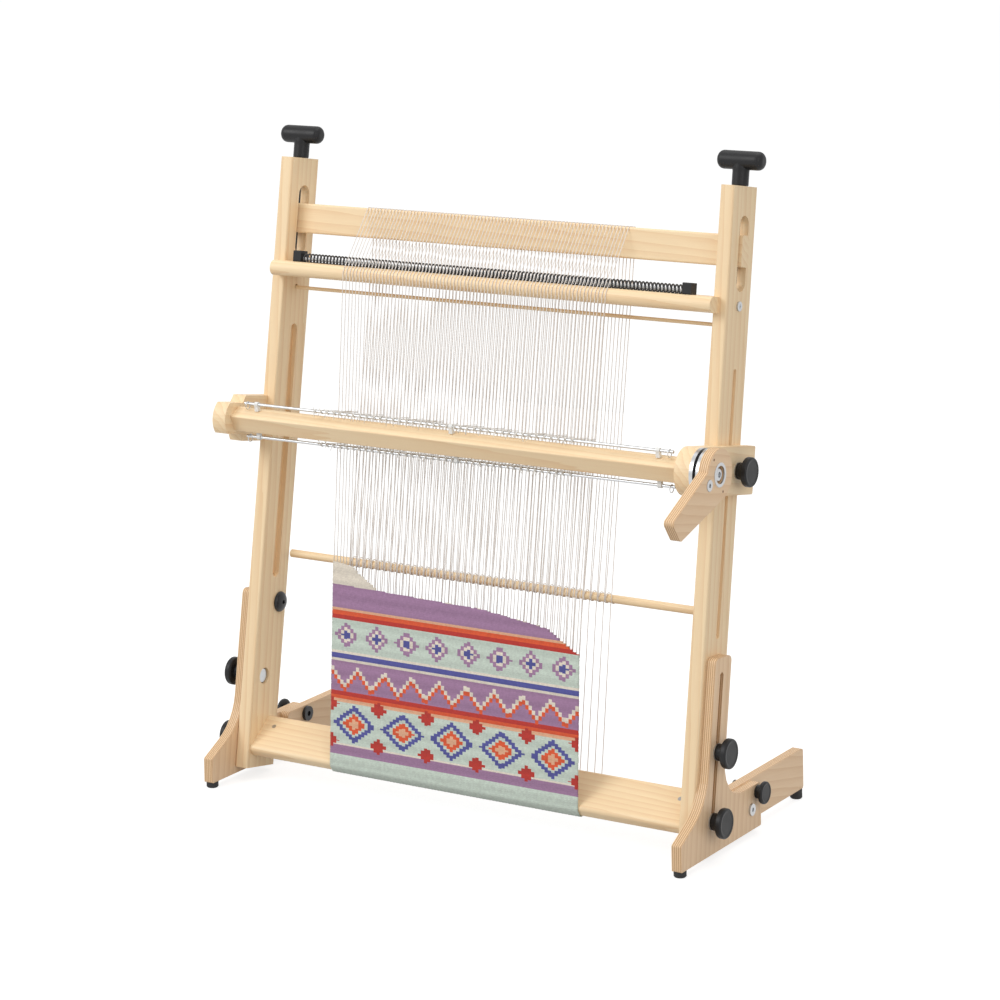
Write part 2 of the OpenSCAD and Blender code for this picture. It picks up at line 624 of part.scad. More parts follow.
// Rear pivot screws and clamp bolts, held in the front legs' arms
pivot_head_d = 17;
rear_head_d = 22.5;
rear_head_t = 5;
rear_knob_x = leg_x1 + run;
module rear_pivot_screws() {
    color(steel) ground() both_sides() {
        along_x(rear_x0 + 1, leg_x1, pivot_y, pivot_z, bolt_d / 2);
        difference() {
            along_x(leg_x1, leg_x1 + 3, pivot_y, pivot_z, pivot_head_d / 2);
            along_x(leg_x1 + 1, leg_x1 + 4, pivot_y, pivot_z, 3);
        }
    }
}
module rear_clamp_bolts() {
    color(black) ground() both_sides() {
        difference() {
            along_x(rear_x0 - run - rear_head_t, rear_x0 - run, clamp_y, clamp_z, rear_head_d / 2);
            along_x(rear_x0 - run - rear_head_t - 1, rear_x0 - run - 2, clamp_y, clamp_z, 4);
        }
        along_x(rear_x0 - run - 1, rear_knob_x + bolt_in_knob, clamp_y, clamp_z, bolt_d / 2);
    }
}
module rear_knob() { knob(rear_knob_x, clamp_y, clamp_z, rear_knob_d, rear_knob_d * 0.6, rear_knob_len); }
module rear_knob_left() { color(black) ground() other_side() rear_knob(); }
module rear_knob_right() { color(black) ground() rear_knob(); }

// Brackets of the shedding device, rebated round the uprights' front outer edges
bracket_low = shed_w - bracket_h / 2;
bracket_high = shed_w + bracket_h / 2;
pin_d = 12;
nose_half = 23;
neck_v = -57;
left_nose_r = 31.5;
module rebate() {
    translate([bracket_x0 - 1, -run, bracket_low - 1])
        cube([xo + run - bracket_x0 + 1, bracket_rear + 2, bracket_h + 2]);
}
module bracket_right() {
    color(maple) lean() difference() {
        board(bracket_x0, bracket_x1) polygon(concat(
            arc(pivot, bracket_h / 2, 90, 270, 20),
            corner([0, bracket_low], [bracket_rear, bracket_low], [bracket_rear, bracket_high], 3),
            corner([bracket_rear, bracket_low], [bracket_rear, bracket_high], [0, bracket_high], 3)));
        rebate();
        along_x(bracket_x0 - 1, bracket_x1 + 1, pivot[0], pivot[1], pin_d / 2 + pin_run);
        along_x(xo - 1, bracket_x1 + 1, slot_v, shed_w, bolt_d / 2);
    }
}
left_nose_deg = asin(nose_half / left_nose_r);
module bracket_left() {
    color(maple) lean() other_side() difference() {
        board(bracket_x0, bracket_x1) polygon(concat(
            arc(pivot, left_nose_r, 180 - left_nose_deg, 180 + left_nose_deg, 10),
            [[neck_v - 7, shed_w - nose_half], [neck_v - 5, shed_w - nose_half - 2], [neck_v, bracket_low]],
            corner([0, bracket_low], [bracket_rear, bracket_low], [bracket_rear, bracket_high], 3),
            corner([bracket_rear, bracket_low], [bracket_rear, bracket_high], [0, bracket_high], 3),
            [[neck_v, bracket_high], [neck_v - 5, shed_w + nose_half + 2], [neck_v - 7, shed_w + nose_half]]));
        rebate();
        along_x(bracket_x0 - 1, bracket_x1 - 5, pivot[0], pivot[1], pin_d / 2 + pin_run);
        along_x(xo - 1, bracket_x1 + 1, slot_v, shed_w, bolt_d / 2);
    }
}
slide_head_d = groove_w - 1;
slide_head_t = 5;
slide_head_x = xi + groove_depth - run;
bracket_knob_x = bracket_x1 + washer_t + run;
module bracket_bolts() {
    color(steel) lean() both_sides() {
        along_x(slide_head_x - slide_head_t, slide_head_x, slot_v, shed_w, slide_head_d / 2);
        along_x(slide_head_x - 1, bracket_knob_x + bolt_in_knob, slot_v, shed_w, bolt_d / 2);
    }
}
module bracket_washers() { color(steel) lean() both_sides() washer(bracket_x1, slot_v, shed_w); }
module bracket_knob() { knob(bracket_knob_x, slot_v, shed_w, knob_d, knob_stem_d, knob_len); }
module bracket_knob_left() { color(black) lean() other_side() bracket_knob(); }
module bracket_knob_right() { color(black) lean() bracket_knob(); }

// Friction discs between the right bracket and the handle
module disc(x0, x1, d, bore) {
    difference() {
        along_x(x0, x1, pivot[0], pivot[1], d / 2);
        along_x(x0 - 1, x1 + 1, pivot[0], pivot[1], bore / 2);
    }
}
ring_x0 = bracket_x1 + disc_t;
ring_x1 = handle_x0 - disc_t - run;
module friction_disc_fixed() { color(steel) lean() disc(bracket_x1, ring_x0, disc_d, pin_d + 2 * pin_run); }
module friction_ring() { color(black) lean() disc(ring_x0, ring_x1, disc_d - 8, pin_d + 2 * pin_run); }
module friction_disc_turning() { color(steel) lean() disc(handle_x0 - disc_t, handle_x0, disc_d, pin_d); }

// Square shedding bar on its pin and its pivot bolt
pin_in_bar = 30;
module shedder_bar() {
    color(maple) lean() difference() {
        board(-bracket_x0 + run, bracket_x0 - run) translate(pivot) rotate(shed_bar_turn)
            polygon(outline([for (s = [[-1, -1], [1, -1], [1, 1], [-1, 1]])
                [s[0] * shed_bar_side / 2, s[1] * shed_bar_side / 2, 2]]));
        both_sides() along_x(bracket_x0 - pin_in_bar, bracket_x0 + 1, pivot[0], pivot[1], pin_d / 2);
    }
}
module pivot_pin_left() {
    color(steel) lean() other_side() along_x(bracket_x0 - pin_in_bar, bracket_x1 - 6, pivot[0], pivot[1], pin_d / 2);
}
cup_d = 25;
cup_depth = 8;
cup_rim_d = 34;
cup_rim_t = 1.2;
pivot_head = 19;
module pivot_bolt() {
    color(steel) lean() difference() {
        union() {
            along_x(bracket_x0 - pin_in_bar, handle_x1 - cup_depth, pivot[0], pivot[1], pin_d / 2);
            translate([handle_x1 - cup_depth, pivot[0], pivot[1]]) rotate([0, 90, 0]) rotate_extrude()
                polygon(concat([[0, 0], [pivot_head / 2, 0]], arc([pivot_head / 2 - 3, 4], 3, 0, 90, 5), [[0, 7]]));
        }
        along_x(handle_x1 - 4, handle_x1 + 1, pivot[0], pivot[1], 4);
    }
}
module pivot_washer() {
    color(steel) lean() difference() {
        along_x(handle_x1 - cup_rim_t, handle_x1 + cup_rim_t / 2, pivot[0], pivot[1], cup_rim_d / 2);
        along_x(handle_x1 - 3, handle_x1 + 3, pivot[0], pivot[1], cup_d / 2);
    }
}
second_bolt = pivot + polar(32, 206);
second_head_d = 16;
second_shaft_d = 6;
pin_places = [pivot + polar(29, 135), pivot + polar(26, 298)];
handle_pin_d = 4;
module shedder_handle() {
    color(ply) lean() difference() {
        union() {
            board(handle_x0, handle_x1) polygon(handle_outline);
            along_x(handle_x0, handle_x1, pivot[0], pivot[1], handle_head_r);
        }
        along_x(handle_x0 - 1, handle_x1 + 1, pivot[0], pivot[1], pin_d / 2);
        along_x(handle_x1 - cup_depth, handle_x1 + 1, pivot[0], pivot[1], cup_d / 2);
        along_x(handle_x1 - cup_rim_t, handle_x1 + 1, pivot[0], pivot[1], cup_rim_d / 2);
        along_x(handle_x1 - 4, handle_x1 + 1, second_bolt[0], second_bolt[1], second_head_d / 2 + run);
        along_x(handle_x0 - 1, handle_x1, second_bolt[0], second_bolt[1], second_shaft_d / 2);
        for (p = pin_places) along_x(handle_x1 - 6, handle_x1 + 1, p[0], p[1], handle_pin_d / 2);
    }
}
module handle_bolt() {
    color(steel) lean() difference() {
        union() {
            along_x(handle_x1 - 4, handle_x1 + handle_proud, second_bolt[0], second_bolt[1], second_head_d / 2);
            along_x(handle_x0, handle_x1 - 3, second_bolt[0], second_bolt[1], second_shaft_d / 2);
        }
        along_x(handle_x1 - 2, handle_x1 + 1, second_bolt[0], second_bolt[1], 3);
    }
}
module handle_pins() {
    color([0.35, 0.2, 0.12]) lean() for (p = pin_places)
        along_x(handle_x1 - 6, handle_x1 - 0.2, p[0], p[1], handle_pin_d / 2);
}

// Heddle rods above and below the bar, with their ties, rings and string heddles
rod_off = 25;
rod_deg = 105;
rod_half = xi - 3;
rod_places = [pivot + polar(rod_off, rod_deg), pivot + polar(rod_off, rod_deg + 180)];
rod_r = heddle_rod_d / 2;
tie_t = 1.6;
tie_w = 6;
// The middle tie of each rod sits between two of that rod's heddles
function tie_places(k) = [-340, warp_mid_x + (3 + k) * warp_pitch, 338];
module heddle_rods() {
    color(steel) lean() for (p = rod_places) along_x(-rod_half, rod_half, p[0], p[1], rod_r);
}
module rod_ties() {
    color("white") lean() for (k = [0, 1]) let (p = rod_places[k]) for (x = tie_places(k)) difference() {
        union() {
            along_x(x - tie_w / 2, x + tie_w / 2, p[0], p[1], rod_r + tie_t);
            board(x - tie_w / 2, x + tie_w / 2) polygon([for (s = [[0, -1], [0, 1], [1, 1], [1, -1]])
                p + s[0] * 10 * unit(pivot - p) + s[1] * 3 * unit([p[1] - pivot[1], pivot[0] - p[0]])]);
        }
        along_x(x - tie_w, x + tie_w, p[0], p[1], rod_r);
        board(x - tie_w, x + tie_w) translate(pivot) rotate(shed_bar_turn) square(shed_bar_side, center = true);
    }
}
ring_r = 5.6;
ring_wire = 1.2;
ring_drop = ring_r - ring_wire / 2 - rod_r - pin_run;
module rod_rings() {
    color(steel) lean() for (p = rod_places) for (s = [-1, 1])
        translate([s * (rod_half - 6), p[0], p[1] - ring_drop]) rotate([0, 90, 0])
            rotate_extrude() translate([ring_r, 0]) circle(d = ring_wire, $fn = 16);
}

// Circles that the warp bends round, in the leaning frame
warp_x = [for (i = [0:warp_ends - 1]) warp_mid_x + (i - (warp_ends - 1) / 2) * warp_pitch];
back_ends = floor(warp_ends / 2) + 1;
back_x = [for (i = [0:back_ends - 1]) warp_mid_x + (2 * i - back_ends + 1) * warp_pitch];
top_corner = [slot_v - top_beam_t / 2 + beam_corner_r, top_beam_w + top_beam_h - beam_corner_r];
top_rear = [slot_v + top_beam_t / 2 - beam_corner_r, top_corner[1]];
low_corner = beam_at(bottom_beam_r, bottom_beam_r);
under_corner = beam_at(bottom_beam_r, bottom_beam_t - bottom_beam_r);
rear_corner = beam_at(bottom_beam_len - bottom_beam_r / 2, bottom_beam_t - bottom_beam_r / 2);
// The warping bar's axis behind the top beam's rear face, so that the warp clears the beam's lower edge
bar_behind = 4.5;
bar = [slot_v + top_beam_t / 2 + bar_behind, warping_bar_w];
bar_r = warping_bar_d / 2;
near = run;
far = run + yarn_d;
deg_top = touch_deg(top_corner, beam_corner_r, nose, nose_r, -1) + 360;
deg_low = touch_deg(nose, nose_r, low_corner, bottom_beam_r, -1) + 360;
up_dir = polar(1, deg_low - 90);
function low_point(o, u) = low_corner + polar(bottom_beam_r + o, deg_low) + u * up_dir;
// The tapestry's upper edge: place across the loom, and distance up from the bottom beam
cloth_edge = [[-230, 264], [28, 258], [138, 245], [194, 213]];
function tapestry_top(x) = lookup(x, cloth_edge);
function front_path(o, u) = concat([[slot_v, top_beam_w + top_beam_h + o]],
    arc(top_corner, beam_corner_r + o, 90, deg_top, 2), arc(nose, nose_r + o, deg_top, deg_low, 2),
    [low_point(o, u)]);
module warp_front() {
    color(yarn) lean() for (x = warp_x) let (u = tapestry_top(x) + yarn_d)
        board(x - yarn_d / 2, x + yarn_d / 2) polygon(concat(front_path(far, u), flip(front_path(near, u))));
}
deg_back = touch_deg(top_rear, beam_corner_r + run + far, bar, -bar_r, 1);
function upper_path(o) = concat([[slot_v, top_beam_w + top_beam_h + o]],
    arc(top_rear, beam_corner_r + o, 90, deg_back, 2),
    arc(bar, bar_r + near + far - o, deg_back + 180, deg_back + 350, 6));
module warp_back_upper() {
    color(yarn) lean() for (x = back_x) board(x - yarn_d / 2, x + yarn_d / 2)
        polygon(concat(upper_path(far), flip(upper_path(near))));
}
deg_rise = touch_deg(rear_corner, bottom_beam_r / 2, bar, bar_r, -1);
under_s = 52;
function lower_path(o) = concat([beam_at(under_s, bottom_beam_t + o)],
    arc(rear_corner, bottom_beam_r / 2 + o, bottom_beam_deg - 90, deg_rise, 3),
    arc(bar, bar_r + o, deg_rise, deg_rise + 170, 6));
module warp_back_lower() {
    color(yarn) lean() for (x = back_x) board(x - yarn_d / 2 + 2 * yarn_d, x + yarn_d / 2 + 2 * yarn_d)
        polygon(concat(lower_path(far), flip(lower_path(near))));
}
module warping_bar() {
    color(maple) lean() along_x(-warping_bar_len / 2, warping_bar_len / 2, bar[0], bar[1], bar_r);
}

// String heddles from each rod back to the front layer of the warp
heddle_d = 1;
heddle_rise = [24, -24];
function warp_front_at(w) = let (p = low_point(far, 0), q = low_point(far, 600))
    p + (q - p) * (w - p[1]) / (q[1] - p[1]);
module heddles() {
    color(yarn) lean() for (k = [0, 1]) let (p = rod_places[k] + [rod_r + run, 0])
        let (q = warp_front_at(shed_w + heddle_rise[k]) - [run, 0])
        for (x = back_x) board(x + k * warp_pitch - heddle_d / 2, x + k * warp_pitch + heddle_d / 2)
            polygon([p - [0, heddle_d / 2], q - [0, heddle_d / 2], q + [0, heddle_d / 2], p + [0, heddle_d / 2]]);
}

// Tapestry: the front panel, and its lower end round the bottom beam
tapestry_left = -219;
tapestry_right = 203;
function hem_path(o) = concat(arc(low_corner, bottom_beam_r + o, deg_low, bottom_beam_deg + 180, 4),
    arc(under_corner, bottom_beam_r + o, bottom_beam_deg + 180, bottom_beam_deg + 270, 6),
    [beam_at(under_s - 2, bottom_beam_t + o)]);
cut_in = 80;
module tapestry() {
    p = low_point(run, 0);
    left_top = cloth_edge[0][0];
    u = cloth_edge[0][1];
    color([0.45, 0.55, 0.75]) lean() intersection() {
        board(left_top - 5, tapestry_right + 5) polygon(concat([low_point(run + tapestry_t, u + 2)],
            hem_path(run + tapestry_t), flip(hem_path(run)), [low_point(run, u + 2)]));
        translate([0, p[0], p[1]]) rotate([deg_low - 90, 0, 0]) translate([0, 0, -cut_in])
            linear_extrude(cut_in + 20)
                polygon(concat([[tapestry_left, -cut_in], [tapestry_right, -cut_in], [tapestry_right, 0]],
                    flip(cloth_edge), [[tapestry_left, 0]]));
    }
}

upright_left();
upright_right();
top_beam();
tension_handle_left();
tension_handle_right();
tension_rod_left();
tension_rod_right();
front_beam();
front_beam_screws();
thin_dowel();
spring();
spring_rod();
spring_blocks();
bottom_beam();
barrel_nuts();
bottom_beam_screws();
dome_bolts();
leg_bolts();
leg_washers();
front_leg_left();
front_leg_right();
rear_leg_left();
rear_leg_right();
front_feet();
rear_foot_left();
rear_foot_right();
leg_knob_upper_left();
leg_knob_upper_right();
leg_knob_lower_left();
leg_knob_lower_right();
rear_knob_left();
rear_knob_right();
rear_clamp_bolts();
rear_pivot_screws();
bracket_left();
bracket_right();
bracket_bolts();
bracket_washers();
bracket_knob_left();
bracket_knob_right();
friction_disc_fixed();
friction_ring();
friction_disc_turning();
shedder_bar();
shedder_handle();
pivot_bolt();
pivot_pin_left();
pivot_washer();
handle_bolt();
handle_pins();
heddle_rods();
rod_ties();
rod_rings();
heddles();
warping_bar();
warp_front();
warp_back_upper();
warp_back_lower();
tapestry();
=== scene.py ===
import json
import math
import random

import bpy
import numpy as np
from mathutils import Matrix, Vector


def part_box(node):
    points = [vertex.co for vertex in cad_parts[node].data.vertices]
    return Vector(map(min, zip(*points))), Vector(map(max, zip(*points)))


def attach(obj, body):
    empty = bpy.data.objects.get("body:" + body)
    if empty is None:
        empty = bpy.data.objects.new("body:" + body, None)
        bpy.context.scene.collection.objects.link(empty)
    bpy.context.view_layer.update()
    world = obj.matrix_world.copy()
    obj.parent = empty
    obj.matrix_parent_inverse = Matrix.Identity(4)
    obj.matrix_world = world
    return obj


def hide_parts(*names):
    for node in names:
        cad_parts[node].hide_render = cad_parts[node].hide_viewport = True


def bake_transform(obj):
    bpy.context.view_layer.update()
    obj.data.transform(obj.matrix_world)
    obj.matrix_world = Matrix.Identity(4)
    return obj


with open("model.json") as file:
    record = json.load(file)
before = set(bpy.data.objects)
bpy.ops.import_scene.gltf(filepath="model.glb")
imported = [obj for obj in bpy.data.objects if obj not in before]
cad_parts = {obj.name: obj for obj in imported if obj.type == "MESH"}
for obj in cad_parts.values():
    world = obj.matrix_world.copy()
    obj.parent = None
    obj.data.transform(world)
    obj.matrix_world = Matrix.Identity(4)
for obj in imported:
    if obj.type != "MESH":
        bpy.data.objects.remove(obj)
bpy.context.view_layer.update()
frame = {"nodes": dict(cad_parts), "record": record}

# The loom's own sizes in millimetres, as in the part's source
LEAN = math.radians(9.8)
MIDDLE_X = 3.55
MIDDLE_Y = 114.6735
LIFT = 19.6
SLOT_V = 38.0
NOSE = np.array([-15.0, 751.2])
NOSE_R = 11.5
TOP_FRONT = np.array([30.5, 848.0])
TOP_REAR = np.array([45.5, 848.0])
TOP_R = 3.0
TOP_W = 851.0
BAR = np.array([53.0, 321.0])
BAR_R = 6.0
BOARD_DEG = 43.6
BOARD_FRONT = np.array([2.5, 29.8])
BOARD_T = 19.0
BOARD_LEN = 67.0
BOARD_R = 6.0
YARN_R = 0.65
YARN_LIFT = 0.78
WARP_ENDS = 77
SPRING_SPAN = 649.0
SPRING_V = -9.0
SPRING_W = 767.7
SPRING_R = 7.4
SPRING_WIRE = 2.6
SPRING_CURLS = 108
SHED = np.array([-75.0, 523.0])
ROD_R = 2.2
STRING_R = 0.5
CLOTH_TOP = ([-230, 28, 138, 194], [264, 258, 245, 213])
HEADER = ([-230, -196, -184, -158, -148], [33, 29, 20, 5, 0])


def place(x, y, z):
    return Vector(((x - MIDDLE_X) / 1000, (y - MIDDLE_Y) / 1000, z / 1000))


def lean_all(points):
    """Points of an array of (x, v, w) rows, leaned back by LEAN round the x axis, raised by LIFT, centred and put in
    metres.
    """
    x, v, w = points.T
    y = v * math.cos(LEAN) + w * math.sin(LEAN)
    z = LIFT - v * math.sin(LEAN) + w * math.cos(LEAN)
    return np.stack([(x - MIDDLE_X), (y - MIDDLE_Y), z], axis=1) / 1000


def polar(radius, degrees):
    a = math.radians(degrees)
    return radius * np.array([math.cos(a), math.sin(a)])


def arc(middle, radius, start, end, steps):
    return [middle + polar(radius, start + (end - start) * i / steps) for i in range(steps + 1)]


def touch(c1, r1, c2, r2, side):
    """Direction of the normal of the line that touches two circles on one side."""
    d = c2 - c1
    return math.degrees(math.atan2(d[1], d[0]) + side * math.acos((r1 - r2) / np.hypot(*d)))


BOARD_UP = polar(1, BOARD_DEG)
BOARD_DOWN = polar(1, BOARD_DEG - 90)


def board_at(s, t):
    return BOARD_FRONT + s * BOARD_UP + t * BOARD_DOWN


LOW_FRONT = board_at(BOARD_R, BOARD_R)
LOW_UNDER = board_at(BOARD_R, BOARD_T - BOARD_R)
LOW_REAR = board_at(BOARD_LEN - BOARD_R / 2, BOARD_T - BOARD_R / 2)
DEG_TOP = touch(TOP_FRONT, TOP_R, NOSE, NOSE_R, -1) + 360
DEG_LOW = touch(NOSE, NOSE_R, LOW_FRONT, BOARD_R, -1) + 360
DEG_BACK = touch(TOP_REAR, TOP_R + 1.7, BAR, -BAR_R, 1)
DEG_RISE = touch(LOW_REAR, BOARD_R / 2, BAR, BAR_R, -1)
CLOTH_UP = polar(1, DEG_LOW - 90)
CLOTH_OUT = polar(1, DEG_LOW)


def mesh_object(name, points, faces, smooth=True):
    mesh = bpy.data.meshes.new(name)
    mesh.from_pydata(np.asarray(points).tolist(), [], np.asarray(faces).tolist())
    mesh.polygons.foreach_set("use_smooth", [smooth] * len(mesh.polygons))
    mesh.update()
    obj = bpy.data.objects.new(name, mesh)
    bpy.context.scene.collection.objects.link(obj)
    return obj


def set_uv(obj, uv):
    layer = obj.data.uv_layers.new(name="along")
    layer.data.foreach_set("uv", np.asarray(uv, np.float32).ravel())


def rings_along(path, radius, sides, radial=None):
    """Points of the rings of a tube along a path, and the length up to each ring."""
    tangent = np.gradient(path, axis=0)
    tangent /= np.linalg.norm(tangent, axis=1)[:, None]
    if radial is None:
        radial = np.tile([1.0, 0.0, 0.0], (len(path), 1))
        flat = np.abs(tangent[:, 0]) > 0.9
        radial[flat] = [0.0, 0.0, 1.0]
    e1 = radial - tangent * np.sum(radial * tangent, axis=1)[:, None]
    e1 /= np.linalg.norm(e1, axis=1)[:, None]
    e2 = np.cross(tangent, e1)
    turn = np.arange(sides) * 2 * math.pi / sides
    ring = np.cos(turn)[None, :, None] * e1[:, None, :] + np.sin(turn)[None, :, None] * e2[:, None, :]
    length = np.concatenate([[0], np.cumsum(np.linalg.norm(np.diff(path, axis=0), axis=1))])
    return (path[:, None, :] + radius * ring).reshape(-1, 3), length


def tubes(name, paths, radius, sides=6, radials=None):
    """One object of closed tubes, whose second texture coordinate runs along each of them in millimetres."""
    points, faces, uv = [], [], []
    count = 0
    for k, path in enumerate(paths):
        ring, length = rings_along(np.asarray(path, float), radius, sides, radials[k] if radials else None)
        rows = len(length)
        for i in range(rows - 1):
            for j in range(sides):
                a, b = count + i * sides + j, count + i * sides + (j + 1) % sides
                faces.append([a, b, b + sides, a + sides])
                uv += [(j / sides, length[i]), ((j + 1) / sides, length[i]),
                       ((j + 1) / sides, length[i + 1]), (j / sides, length[i + 1])]
        for first in (0, (rows - 1) * sides):
            cap = [count + first + j for j in range(sides)]
            faces.append(cap[::-1] if first == 0 else cap)
            uv += [(j / sides, length[0 if first == 0 else -1]) for j in range(sides)]
        points.append(ring)
        count += len(ring)
    obj = bpy.data.objects.new(name, bpy.data.meshes.new(name))
    obj.data.from_pydata(lean_all(np.concatenate(points)).tolist(), [], faces)
    obj.data.polygons.foreach_set("use_smooth", [True] * len(faces))
    bpy.context.scene.collection.objects.link(obj)
    set_uv(obj, uv)
    return obj


# Shared effects

def group(name, inputs, outputs):
    tree = bpy.data.node_groups.new(name, "ShaderNodeTree")
    for label, kind, value in inputs:
        socket = tree.interface.new_socket(label, in_out="INPUT", socket_type=kind)
        if value is not None:
            socket.default_value = value
    for label, kind in outputs:
        tree.interface.new_socket(label, in_out="OUTPUT", socket_type=kind)
    return tree, tree.nodes.new("NodeGroupInput"), tree.nodes.new("NodeGroupOutput")


def node(tree, kind, links=None, **settings):
    """A node with its settings, and its sockets linked or set by name or number."""
    made = tree.nodes.new(kind)
    for key, value in settings.items():
        setattr(made, key, value)
    for key, value in (links or {}).items():
        if isinstance(value, bpy.types.NodeSocket):
            tree.links.new(value, made.inputs[key])
        else:
            made.inputs[key].default_value = value
    return made


def math_node(tree, operation, *values):
    return node(tree, "ShaderNodeMath", dict(enumerate(values)), operation=operation).outputs[0]


def mix_colour(tree, factor, a, b, blend="MIX"):
    made = node(tree, "ShaderNodeMix", None, data_type="RGBA", blend_type=blend)
    for index, value in ((0, factor), (6, a), (7, b)):
        if isinstance(value, bpy.types.NodeSocket):
            tree.links.new(value, made.inputs[index])
        else:
            made.inputs[index].default_value = value
    return made.outputs[2]


def wood_grain_group():
    tree, inside, out = group(
        "wood grain",
        [("Vector", "NodeSocketVector", None), ("Pale", "NodeSocketColor", None), ("Dark", "NodeSocketColor", None)],
        [("Color", "NodeSocketColor"), ("Height", "NodeSocketFloat")])
    where = inside.outputs["Vector"]
    broad = node(tree, "ShaderNodeTexNoise", {"Vector": where, "Scale": 1.3, "Detail": 3.0}).outputs["Fac"]
    lines = node(tree, "ShaderNodeTexWave", {"Vector": where, "Scale": 1.1, "Distortion": 5.5, "Detail": 3.0,
                 "Detail Scale": 0.8, "Detail Roughness": 0.6}, wave_type="BANDS", bands_direction="DIAGONAL",
                 wave_profile="SAW").outputs["Fac"]
    fibre = node(tree, "ShaderNodeTexNoise", {"Vector": where, "Scale": 16.0, "Detail": 4.0}).outputs["Fac"]
    rings = math_node(tree, "POWER", lines, 2.2)
    part = math_node(tree, "MULTIPLY_ADD", rings, 0.42, math_node(tree, "MULTIPLY", broad, 0.45))
    part = math_node(tree, "MULTIPLY_ADD", fibre, 0.32, part)
    part = node(tree, "ShaderNodeMapRange", {0: part, 1: 0.22, 2: 0.95}).outputs[0]
    tree.links.new(mix_colour(tree, part, inside.outputs["Pale"], inside.outputs["Dark"]), out.inputs["Color"])
    tree.links.new(math_node(tree, "MULTIPLY_ADD", fibre, 0.7, math_node(tree, "MULTIPLY", rings, 0.3)),
                   out.inputs["Height"])
    return tree


def ply_edge_group():
    """Thin layers across the thickness, shown where the surface faces away from the sheet's own sides."""
    tree, inside, out = group(
        "ply edge",
        [("Vector", "NodeSocketVector", None), ("Normal", "NodeSocketVector", None), ("Start", "NodeSocketFloat", 0.0),
         ("Face", "NodeSocketColor", None)],
        [("Color", "NodeSocketColor"), ("Layer", "NodeSocketFloat")])
    x = node(tree, "ShaderNodeSeparateXYZ", {0: inside.outputs["Vector"]}).outputs[0]
    waver = node(tree, "ShaderNodeTexNoise", {"Vector": inside.outputs["Vector"], "Scale": 160.0,
                 "Detail": 2.0}).outputs["Fac"]
    depth = math_node(tree, "SUBTRACT", x, inside.outputs["Start"])
    layer = math_node(tree, "MULTIPLY_ADD", depth, 1000 / 3.0, math_node(tree, "MULTIPLY", waver, 0.12))
    step = math_node(tree, "FRACT", layer)
    dark = math_node(tree, "GREATER_THAN", step, 0.62)
    glue = math_node(tree, "LESS_THAN", math_node(tree, "ABSOLUTE", math_node(tree, "SUBTRACT", step, 0.5)), 0.07)
    nx = node(tree, "ShaderNodeSeparateXYZ", {0: inside.outputs["Normal"]}).outputs[0]
    edge = math_node(tree, "LESS_THAN", math_node(tree, "ABSOLUTE", nx), 0.6)
    layers = mix_colour(tree, dark, (0.86, 0.62, 0.38, 1), (0.58, 0.34, 0.17, 1))
    layers = mix_colour(tree, math_node(tree, "MULTIPLY", glue, 0.7), layers, (0.30, 0.17, 0.08, 1))
    tree.links.new(mix_colour(tree, edge, inside.outputs["Face"], layers), out.inputs["Color"])
    tree.links.new(math_node(tree, "MULTIPLY", dark, edge), out.inputs["Layer"])
    return tree


def fine_texture_group():
    """A fine moulded or worn surface: an uneven value near 1, and its height."""
    tree, inside, out = group(
        "fine texture", [("Vector", "NodeSocketVector", None), ("Scale", "NodeSocketFloat", 900.0)],
        [("Unevenness", "NodeSocketFloat"), ("Height", "NodeSocketFloat")])
    fine = node(tree, "ShaderNodeTexNoise", {"Vector": inside.outputs["Vector"], "Scale": inside.outputs["Scale"],
                "Detail": 3.0}).outputs["Fac"]
    patchy = node(tree, "ShaderNodeTexNoise", {"Vector": inside.outputs["Vector"], "Scale": 45.0,
                  "Detail": 3.0}).outputs["Fac"]
    tree.links.new(math_node(tree, "MULTIPLY_ADD", patchy, 0.5, 0.75), out.inputs["Unevenness"])
    tree.links.new(fine, out.inputs["Height"])
    return tree


def yarn_twist_group():
    """The plies of a twisted yarn, from coordinates round it and along it: the yarn's own uneven tone, with painted
    shade in the grooves between the plies.
    """
    tree, inside, out = group(
        "yarn twist", [("Along", "NodeSocketVector", None), ("Vector", "NodeSocketVector", None),
                       ("Pale", "NodeSocketColor", None), ("Dark", "NodeSocketColor", None)],
        [("Color", "NodeSocketColor"), ("Height", "NodeSocketFloat")])
    parts = node(tree, "ShaderNodeSeparateXYZ", {0: inside.outputs["Along"]})
    turn = math_node(tree, "MULTIPLY_ADD", parts.outputs[0], 3.0, math_node(tree, "MULTIPLY", parts.outputs[1], 0.75))
    ply = math_node(tree, "PINGPONG", turn, 0.5)
    fuzz = node(tree, "ShaderNodeTexNoise", {"Vector": inside.outputs["Vector"], "Scale": 2400.0,
                "Detail": 2.0}).outputs["Fac"]
    strand = node(tree, "ShaderNodeTexNoise", {"Vector": inside.outputs["Vector"], "Scale": 70.0}).outputs["Fac"]
    # painted shade: where ply is low, in the grooves between the plies, the colour is pushed towards Dark; the strand
    # and fuzz noise are the yarn's own uneven tone
    groove_shade_and_tone = math_node(tree, "MULTIPLY_ADD", ply, -0.9, math_node(tree, "MULTIPLY_ADD", strand, 0.5, 0.35))
    groove_shade_and_tone = node(tree, "ShaderNodeClamp", {0: math_node(tree, "MULTIPLY_ADD", fuzz, 0.3, groove_shade_and_tone)}).outputs[0]
    tree.links.new(mix_colour(tree, groove_shade_and_tone, inside.outputs["Pale"], inside.outputs["Dark"]), out.inputs["Color"])
    tree.links.new(math_node(tree, "MULTIPLY_ADD", fuzz, 0.35, ply), out.inputs["Height"])
    return tree


WOOD = wood_grain_group()
PLY = ply_edge_group()
FINE = fine_texture_group()
TWIST = yarn_twist_group()


